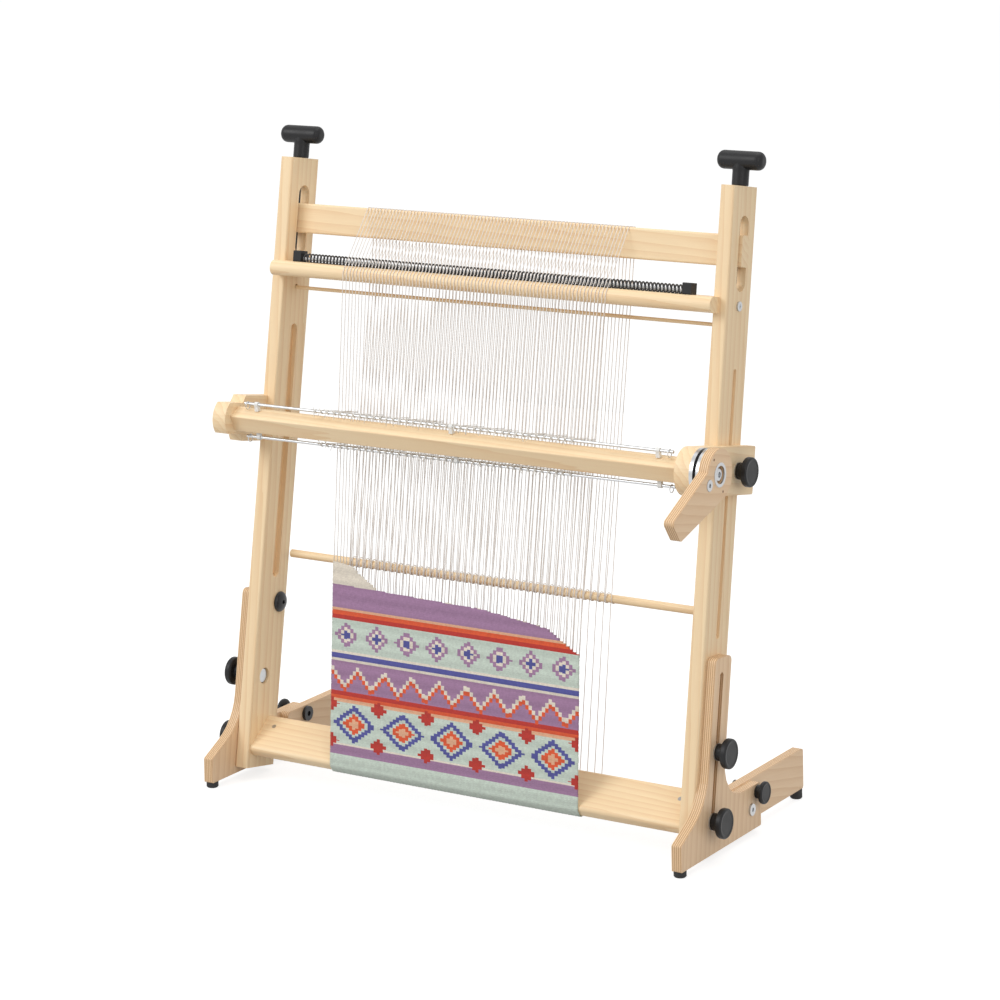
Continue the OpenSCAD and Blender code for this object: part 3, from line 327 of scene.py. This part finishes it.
def use_group(tree, shared, links):
    made = node(tree, "ShaderNodeGroup", None, node_tree=shared)
    for key, value in links.items():
        if isinstance(value, bpy.types.NodeSocket):
            tree.links.new(value, made.inputs[key])
        else:
            made.inputs[key].default_value = value
    return made.outputs


def material(name, **constants):
    """A material with its Principled shader, whose plain values are set on the shader's own sockets."""
    made = bpy.data.materials.new(name)
    made.use_nodes = True
    shader = made.node_tree.nodes["Principled BSDF"]
    for key, value in constants.items():
        shader.inputs[key.replace("_", " ")].default_value = value
    coordinates = made.node_tree.nodes.new("ShaderNodeTexCoord")
    return made, made.node_tree, shader, coordinates


def bump(tree, shader, height, distance, strength=1.0):
    made = node(tree, "ShaderNodeBump", {"Height": height, "Distance": distance, "Strength": strength})
    tree.links.new(made.outputs["Normal"], shader.inputs["Normal"])


STRETCH = {"across": (1.6, 42, 42), "upright": (42, 42, 1.6), "level": (42, 1.8, 42)}
MAPLE = ((0.96, 0.76, 0.49, 1), (0.84, 0.58, 0.33, 1))
BIRCH = ((0.90, 0.66, 0.43, 1), (0.76, 0.50, 0.29, 1))


def wood(name, grain, seed, tones=MAPLE, ply_start=None):
    made, tree, shader, where = material(name, Roughness=0.48, Specular_IOR_Level=0.4)
    turned = node(tree, "ShaderNodeVectorRotate", {"Vector": where.outputs["Object"], "Angle": LEAN},
                  rotation_type="X_AXIS")
    placed = node(tree, "ShaderNodeMapping", {"Vector": turned.outputs[0], "Scale": STRETCH[grain],
                  "Location": (seed * 3.7, seed * 1.9, seed * 2.3)})
    grain_out = use_group(tree, WOOD, {"Vector": placed.outputs[0], "Pale": tones[0], "Dark": tones[1]})
    colour, height = grain_out["Color"], grain_out["Height"]
    if ply_start is not None:
        ply = use_group(tree, PLY, {"Vector": where.outputs["Object"], "Normal": where.outputs["Normal"],
                                    "Start": ply_start, "Face": colour})
        colour = ply["Color"]
        height = math_node(tree, "MULTIPLY_ADD", ply["Layer"], 0.3, height)
    tree.links.new(colour, shader.inputs["Base Color"])
    rough = math_node(tree, "MULTIPLY_ADD", height, 0.22, 0.36)
    tree.links.new(rough, shader.inputs["Roughness"])
    bump(tree, shader, height, 0.00012, 0.5)
    return made


def moulded(name, colour, roughness, scale=1100.0, depth=0.00006, **constants):
    made, tree, shader, where = material(name, Base_Color=colour, **constants)
    fine = use_group(tree, FINE, {"Vector": where.outputs["Object"], "Scale": scale})
    tree.links.new(math_node(tree, "MULTIPLY", fine["Unevenness"], roughness), shader.inputs["Roughness"])
    bump(tree, shader, fine["Height"], depth, 0.6)
    return made


def yarn(name, pale, dark):
    made, tree, shader, where = material(name, Roughness=0.88, Sheen_Weight=0.25, Sheen_Roughness=0.5)
    twist = use_group(tree, TWIST, {"Along": where.outputs["UV"], "Vector": where.outputs["Object"],
                                    "Pale": pale, "Dark": dark})
    tree.links.new(twist["Color"], shader.inputs["Base Color"])
    bump(tree, shader, twist["Height"], 0.00018, 0.8)
    return made


def woven_wool(name):
    """Dyed wool: each pick's colour is on the mesh, with the yarn's own unevenness over it."""
    made, tree, shader, where = material(name, Roughness=0.92, Sheen_Weight=0.3, Sheen_Roughness=0.6)
    dye = node(tree, "ShaderNodeAttribute", None, attribute_name="dye").outputs["Color"]
    fibre = node(tree, "ShaderNodeTexNoise", {"Vector": where.outputs["Object"], "Scale": 1500.0,
                 "Detail": 3.0}).outputs["Fac"]
    heather = node(tree, "ShaderNodeTexNoise", {"Vector": where.outputs["Object"], "Scale": 260.0}).outputs["Fac"]
    worn = math_node(tree, "MULTIPLY_ADD", fibre, 0.5, math_node(tree, "MULTIPLY_ADD", heather, 0.5, -0.28))
    uneven = node(tree, "ShaderNodeClamp", {0: worn}).outputs[0]
    tree.links.new(mix_colour(tree, uneven, dye, (0.30, 0.26, 0.27, 1), "MULTIPLY"), shader.inputs["Base Color"])
    bump(tree, shader, fibre, 0.00025, 0.6)
    return made


STEEL = moulded("zinc plated steel", (0.52, 0.53, 0.54, 1), 0.30, 700.0, 0.00002, Metallic=1.0)
BLACK_PLASTIC = moulded("black moulded plastic", (0.010, 0.010, 0.011, 1), 0.42, Specular_IOR_Level=0.3)
BLACK_STEEL = moulded("black oxide steel", (0.016, 0.016, 0.018, 1), 0.34, 800.0, 0.00003, Specular_IOR_Level=0.4)
RUBBER = moulded("black rubber", (0.028, 0.028, 0.028, 1), 0.8)
WHITE_PLASTIC = moulded("white plastic", (0.80, 0.80, 0.78, 1), 0.42)
BROWN_METAL = moulded("browned metal", (0.22, 0.11, 0.06, 1), 0.45, 800.0, 0.00003, Metallic=0.7)
WARP = yarn("cotton warp", (0.94, 0.90, 0.85, 1), (0.74, 0.66, 0.60, 1))
STRING = yarn("heddle string", (0.92, 0.90, 0.86, 1), (0.72, 0.68, 0.62, 1))
WOOL = woven_wool("tapestry wool")

PLAIN = {"black_plastic": BLACK_PLASTIC, "black_steel": BLACK_STEEL, "rubber": RUBBER, "zinc_steel": STEEL,
         "white_plastic": WHITE_PLASTIC, "brass": BROWN_METAL, "warp_yarn": WARP, "tapestry_wool": WOOL}
GRAIN = {"upright_left": "upright", "upright_right": "upright", "bracket_left": "level", "bracket_right": "level",
         "rear_leg_left": "level", "rear_leg_right": "level", "shedder_handle": "level",
         "front_leg_left": "upright", "front_leg_right": "upright"}


def finish_cad_nodes():
    for k, part in enumerate(frame["record"]["subparts"]):
        name, finish = part["node"], part["material_slot"]
        if finish == "maple":
            look = wood(f"maple {name}", GRAIN.get(name, "across"), k)
        elif finish == "plywood":
            look = wood(f"birch ply {name}", GRAIN[name], k, BIRCH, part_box(name)[0].x)
        else:
            look = PLAIN[finish]
        frame["nodes"][name].data.materials.clear()
        frame["nodes"][name].data.materials.append(look)


def dress(obj, look, finish, *replaced):
    obj.data.materials.append(look)
    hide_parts(*replaced)


# Warp

def warp_x(i, w, dice):
    """Place of one warp end across the loom: evenly spread by the spring, a little closer at the cloth."""
    down = min(max((NOSE[1] - w) / 470, 0), 1)
    return -15.5 - 2.0 * down + (i - (WARP_ENDS - 1) / 2) * (5.9 - 0.33 * down) + dice


def cloth_top(x):
    return np.interp(x, *CLOTH_TOP) + np.interp(x, *HEADER)


def low_point(lift, up):
    return LOW_FRONT + (BOARD_R + lift) * CLOTH_OUT + up * CLOTH_UP


def spaced(a, b, steps):
    return [a + (b - a) * i / steps for i in range(1, steps)]


def build_warp():
    dice = random.Random(11)
    shift = [dice.uniform(-0.45, 0.45) for _ in range(WARP_ENDS)]
    lift = YARN_LIFT
    over_front = arc(TOP_FRONT, TOP_R + lift, 90, DEG_TOP, 4)
    over_nose = arc(NOSE, NOSE_R + lift, DEG_TOP, DEG_LOW, 6)
    top = [np.array([SLOT_V, TOP_W + lift])] + over_front
    top += spaced(over_front[-1], over_nose[0], 8) + over_nose[:2]
    over_rear = arc(TOP_REAR, TOP_R + lift, 90, DEG_BACK, 4)
    bar_top = BAR + polar(BAR_R + lift, DEG_BACK + 180)
    halfway = (over_rear[-1] + bar_top) / 2
    back = [np.array([SLOT_V, TOP_W + lift])] + over_rear + spaced(over_rear[-1], halfway, 8) + [halfway]
    hook = spaced(halfway, bar_top, 14) + arc(BAR, BAR_R + lift, DEG_BACK + 180, DEG_BACK + 365, 10)
    fronts, mains, backs, hooks = [], [], [], []
    for i in range(WARP_ENDS):
        s = shift[i]
        fronts.append([(warp_x(i, p[1], s), *p) for p in top])
        end_x = warp_x(i, 300, s)
        low = low_point(lift, cloth_top(end_x) - 3)
        run = over_nose[1:] + spaced(over_nose[-1], low, 10) + [low]
        mains.append([(warp_x(i, p[1], s), *p) for p in run])
        x = warp_x(i, 800, s)
        backs.append([(x, *p) for p in back])
        pair_x = warp_x(i - i % 2 + 0.5, 800, 0) + (0.75 if i % 2 else -0.75)
        near_bar = [min(max((halfway[1] - p[1]) / (halfway[1] - BAR[1]), 0), 1) ** 1.5 for p in hook]
        hooks.append([(x, *halfway)] + [(x + (pair_x - x) * t, *p) for t, p in zip(near_bar, hook)])
    piece = tubes("warp_over_top_beam", fronts, YARN_R)
    dress(piece, WARP, "warp_yarn", "warp_front")
    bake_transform(piece)
    piece = tubes("warp_front_layer", mains, YARN_R)
    dress(piece, WARP, "warp_yarn", "warp_front")
    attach(piece, "frame")
    piece = tubes("warp_back_layer_top", backs, YARN_R)
    dress(piece, WARP, "warp_yarn", "warp_back_upper")
    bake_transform(piece)
    piece = tubes("warp_back_layer_loops", hooks, YARN_R)
    dress(piece, WARP, "warp_yarn", "warp_back_upper")
    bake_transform(piece)
    # Single ends below the bar: over it, down to the lower beam's rear edge and under the beam
    rise = arc(LOW_REAR, BOARD_R / 2 + lift, BOARD_DEG - 90, DEG_RISE, 3)
    over_bar = arc(BAR, BAR_R + lift + 1.1, DEG_RISE, DEG_RISE + 172, 10)
    low = [board_at(54, BOARD_T + lift)] + rise + spaced(rise[-1], over_bar[0], 12) + over_bar
    lows = []
    for i in range(0, WARP_ENDS - 1, 2):
        x = warp_x(i + 0.5, 800, 0) + 2.3
        lean_out = [min(max((BAR[1] - p[1]) / 240, 0), 1) for p in low]
        lows.append([(x + (i / WARP_ENDS - 0.2) * 3.5 * t, *p) for t, p in zip(lean_out, low)])
    piece = tubes("warp_below_bar", lows, YARN_R)
    dress(piece, WARP, "warp_yarn", "warp_back_lower")
    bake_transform(piece)


# Spring

def build_spring():
    steps = 20
    total = SPRING_CURLS * steps
    turn = np.arange(total + 1) * 2 * math.pi / steps
    span = SPRING_SPAN - 2 * SPRING_WIRE
    x = -span / 2 + span * np.arange(total + 1) / total
    path = np.stack([x, SPRING_V + SPRING_R * np.cos(turn), SPRING_W + SPRING_R * np.sin(turn)], axis=1)
    path = np.concatenate([path[:1] - [SPRING_WIRE, 0, 0], path, path[-1:] + [SPRING_WIRE, 0, 0]])
    radial = path - np.stack([path[:, 0], np.full(len(path), SPRING_V), np.full(len(path), SPRING_W)], axis=1)
    piece = tubes("spacing_spring", [path], SPRING_WIRE / 2, 10, [radial])
    dress(piece, BLACK_STEEL, "black_steel", "spring")
    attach(piece, "frame")


# Heddles: a loop of string from each rod round a warp end, tied on the rod with short tails

def build_heddles():
    dice = random.Random(5)
    strings = []
    for k in (0, 1):
        rod = SHED + polar(25, 105 + 180 * k)
        reach = 24 if k == 0 else -24
        for i in range(k, WARP_ENDS, 2):
            w = SHED[1] + reach + dice.uniform(-2.5, 2.5)
            x = warp_x(i, w, dice.uniform(-0.8, 0.8))
            up = (w - LOW_FRONT[1]) / CLOTH_UP[1]
            hold = low_point(YARN_LIFT, up)
            around = rod + polar(ROD_R + STRING_R, 0)
            for side in (-1, 1):
                loop = [around + (0, side * 1.6)]
                loop += spaced(around + (0, side * 1.6), hold + (0, side * 0.9), 5)
                loop.append(hold + (-0.9, side * 0.9))
                strings.append([(x + side * 0.35, *p) for p in loop])
            wraps = arc(rod, ROD_R + STRING_R, 0, 720, 24)
            strings.append([(x + 2.2 * j / 24, *p) for j, p in enumerate(wraps)])
            for _ in range(3):
                start = rod + polar(ROD_R + STRING_R, 160 + dice.uniform(-25, 25))
                drop = dice.uniform(-7, 10)
                aside = dice.uniform(-4, 4)
                tail = [start, start + (-1.6, -0.6), start + (-2.4, -drop * 0.45), start + (-2.0, -drop)]
                strings.append([(x + aside * (j / 3) ** 2, *p) for j, p in enumerate(tail)])
    piece = tubes("string_heddles", strings, STRING_R, 5)
    dress(piece, STRING, "warp_yarn", "heddles")
    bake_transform(piece)


# Tapestry: weft-faced cloth, one bead of wool for each pick over each warp end

DYES = {"mint": (0.66, 0.76, 0.66), "mauve": (0.40, 0.22, 0.38), "red": (0.55, 0.025, 0.012),
        "orange": (0.84, 0.10, 0.02), "peach": (0.92, 0.50, 0.30), "blue": (0.085, 0.09, 0.36),
        "cream": (0.88, 0.80, 0.67)}
BANDS = [(-90, 16, "mint"), (16, 30, "mauve"), (30, 33, "cream"), (33, 92, "mint"), (92, 97, "peach"),
         (97, 103, "orange"), (103, 109, "red"), (109, 152, "mauve"), (152, 156, "cream"), (156, 164, "blue"),
         (164, 168, "cream"), (168, 214, "mint"), (214, 220, "red"), (220, 226, "orange"), (226, 230, "peach"),
         (230, 300, "mauve")]
PICK = 1.25


def design(across, up):
    """Traditional bands with stepped diamonds, a zigzag and small lozenges. across is 0 to 1, up in millimetres."""
    colour = np.zeros(across.shape + (3,))
    for low, high, dye in BANDS:
        colour[(up >= low) & (up < high)] = DYES[dye]
    width = across * 430

    def lozenges(period, offset, middle, half_w, half_h, dyes):
        dx = np.abs((width - offset) % period - period / 2)
        dy = np.abs(up - middle)
        far = dx / half_w + dy / half_h
        for reach, dye in dyes:
            colour[far < reach] = DYES[dye]

    lozenges(86, 0, 62.5, 38, 28, [(1.0, "blue"), (0.72, "mint"), (0.55, "orange"), (0.28, "peach")])
    lozenges(86, 43, 36, 15, 12, [(1.0, "red")])
    lozenges(86, 43, 89, 15, 12, [(1.0, "red")])
    wave = np.abs(width % 48 - 24) / 24
    colour[np.abs(up - (117 + 27 * wave)) < 3.4] = DYES["cream"]
    colour[np.abs(up - (110.5 + 27 * wave)) < 3.0] = DYES["orange"]
    lozenges(53.75, 0, 191, 21, 19, [(1.0, "mauve"), (0.66, "cream"), (0.4, "blue")])
    return colour


def cloth_profile(s, lift):
    """Point (v, w) and outward normal of the cloth at length s: up the panel, or back round the lower beam."""
    if s >= 0:
        return low_point(lift, s), CLOTH_OUT
    corners = [(LOW_FRONT, DEG_LOW, BOARD_DEG + 180), (LOW_UNDER, BOARD_DEG + 180, BOARD_DEG + 270)]
    left = -s
    radius = BOARD_R + lift
    for k, (middle, start, end) in enumerate(corners):
        bend = math.radians(end - start) * radius
        if left <= bend:
            out = polar(1, start + math.degrees(left / radius))
            return middle + radius * out, out
        left -= bend
        out = polar(1, end)
        flat = BOARD_T - 2 * BOARD_R if k == 0 else 1e6
        ahead = -polar(1, BOARD_DEG + 90) if k == 0 else BOARD_UP
        if left <= flat:
            return middle + radius * out + left * ahead, out
        left -= flat


def build_tapestry():
    dice = np.random.default_rng(3)
    columns = 2 * WARP_ENDS + 1
    low_rows, high_rows = -52, 238
    rows = 2 * (high_rows - low_rows) + 1
    relief = 0.28
    base = 1.5
    points = np.zeros((rows, columns, 3))
    for m in range(rows):
        s = (m / 2 + low_rows) * PICK
        pick = m // 2 + low_rows
        spot, out = cloth_profile(s, 0.5)
        rise = max(s, 0) / 264
        left, right = -219 - 11 * rise, 203 - 11.2 * rise
        c = np.arange(columns) / (columns - 1)
        x = left + (right - left) * c
        edge = dice.uniform(-0.5, 0.5)
        x[0] += edge
        x[-1] -= edge
        over = (np.arange(columns) // 2 + pick) % 2 == 0
        middle_of_bead = np.arange(columns) % 2 == 1
        height = np.where(middle_of_bead, np.where(over, relief, -relief * 0.5), -relief * 0.6)
        if m % 2 == 0:
            height = np.where(middle_of_bead, relief * 0.1, -relief * 0.7)
        thick = base + height + dice.normal(0, 0.03, columns)
        points[m, :, 0] = x
        points[m, :, 1] = spot[0] + out[0] * thick
        points[m, :, 2] = spot[1] + out[1] * thick
    quads = []
    spots = []
    for m in range(rows - 1):
        up = ((m // 2) + low_rows + 0.5) * PICK
        for k in range(columns - 1):
            x = points[m, (k // 2) * 2 + 1, 0]
            if up > cloth_top(x) + 0.4 * math.sin(k // 2 * 2.1):
                continue
            a = m * columns + k
            quads.append([a, a + 1, a + columns + 1, a + columns])
            spots.append(((k // 2 + 0.5) / WARP_ENDS, up, m // 2, np.interp(x, *CLOTH_TOP)))
    spots = np.array(spots)
    dye = design(spots[:, 0], spots[:, 1])
    dye[spots[:, 1] > spots[:, 3]] = DYES["cream"]
    tone = 1 + 0.07 * np.sin(spots[:, 2] * 12.9898)
    speckle = 1 + 0.05 * np.sin(spots[:, 0] * WARP_ENDS * 78.233 + spots[:, 2] * 3.1)
    dye = np.clip(dye * (tone * speckle)[:, None], 0, 1)
    used, faces = np.unique(np.array(quads), return_inverse=True)
    piece = mesh_object("tapestry_cloth", lean_all(points.reshape(-1, 3)[used]), faces.reshape(-1, 4))
    colours = piece.data.color_attributes.new("dye", "FLOAT_COLOR", "CORNER")
    full = np.concatenate([np.repeat(dye, 4, axis=0), np.ones((len(dye) * 4, 1))], axis=1)
    colours.data.foreach_set("color", full.astype(np.float32).ravel())
    backing = piece.modifiers.new("cloth thickness", "SOLIDIFY")
    backing.thickness = 0.0011
    backing.offset = -1.0
    dress(piece, WOOL, "tapestry_wool", "tapestry")
    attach(piece, "frame")


# Studio

def look_at(obj, target):
    obj.rotation_euler = (Vector(target) - obj.location).to_track_quat("-Z", "Y").to_euler()


def soft_lamp(name, spot, target, size, power):
    lamp = bpy.data.lights.new(name, "AREA")
    lamp.size = size
    lamp.energy = power
    obj = bpy.data.objects.new(name, lamp)
    obj.location = spot
    bpy.context.scene.collection.objects.link(obj)
    look_at(obj, target)


def seen_directly(tree):
    """1 where the ray comes from the camera, a reflection or glass."""
    path = tree.nodes.new("ShaderNodeLightPath").outputs
    seen = math_node(tree, "MAXIMUM", path["Is Camera Ray"], path["Is Glossy Ray"])
    return math_node(tree, "MAXIMUM", seen, path["Is Transmission Ray"])


def build_studio():
    world = bpy.data.worlds.new("studio")
    bpy.context.scene.world = world
    world.use_nodes = True
    tree = world.node_tree
    back = tree.nodes["Background"]
    back.inputs["Color"].default_value = (1, 1, 1, 1)
    tree.links.new(node(tree, "ShaderNodeMapRange", {0: seen_directly(tree), 3: 0.62, 4: 1.0}).outputs[0],
                   back.inputs["Strength"])
    half = 14.0
    floor = mesh_object("floor", [(-half, -half, 0), (half, -half, 0), (half, half, 0), (-half, half, 0)],
                        [[0, 1, 2, 3]], False)
    made, tree, shader, _ = material("pale floor", Base_Color=(0.42, 0.42, 0.42, 1), Roughness=0.9,
                                     Specular_IOR_Level=0.0, Emission_Color=(1, 1, 1, 1))
    tree.links.new(math_node(tree, "MULTIPLY", seen_directly(tree), 0.76), shader.inputs["Emission Strength"])
    floor.data.materials.append(made)
    floor.location.z = -0.0005
    soft_lamp("key lamp", (-2.6, -3.6, 3.4), (0, 0, 0.4), 2.6, 112)
    soft_lamp("side lamp", (3.4, -2.2, 2.2), (0, 0, 0.5), 2.2, 26)
    soft_lamp("top lamp", (0.3, 0.6, 3.6), (0, 0, 0.3), 2.4, 30)


def build_camera():
    yaw, pitch, roll = math.radians(33.9), math.radians(3.8), math.radians(1.2)
    ahead = Vector((-math.sin(yaw) * math.cos(pitch), math.cos(yaw) * math.cos(pitch), -math.sin(pitch)))
    level = Vector((math.cos(yaw), math.sin(yaw), 0))
    above = level.cross(ahead)
    right = level * math.cos(roll) - above * math.sin(roll)
    up = level * math.sin(roll) + above * math.cos(roll)
    data = bpy.data.cameras.new("camera")
    data.lens = 121.98
    data.sensor_width = 36.0
    data.shift_x = 0.157
    data.shift_y = -0.543
    data.clip_end = 60.0
    camera = bpy.data.objects.new("camera", data)
    turn = Matrix((right, up, -ahead)).transposed().to_4x4()
    camera.matrix_world = Matrix.Translation(place(2564.6, -4054.7, 1570.3)) @ turn
    bpy.context.scene.collection.objects.link(camera)
    bpy.context.scene.camera = camera


bpy.context.scene.view_settings.view_transform = "Standard"
build_camera()
finish_cad_nodes()
build_warp()
build_spring()
build_heddles()
build_tapestry()
build_studio()
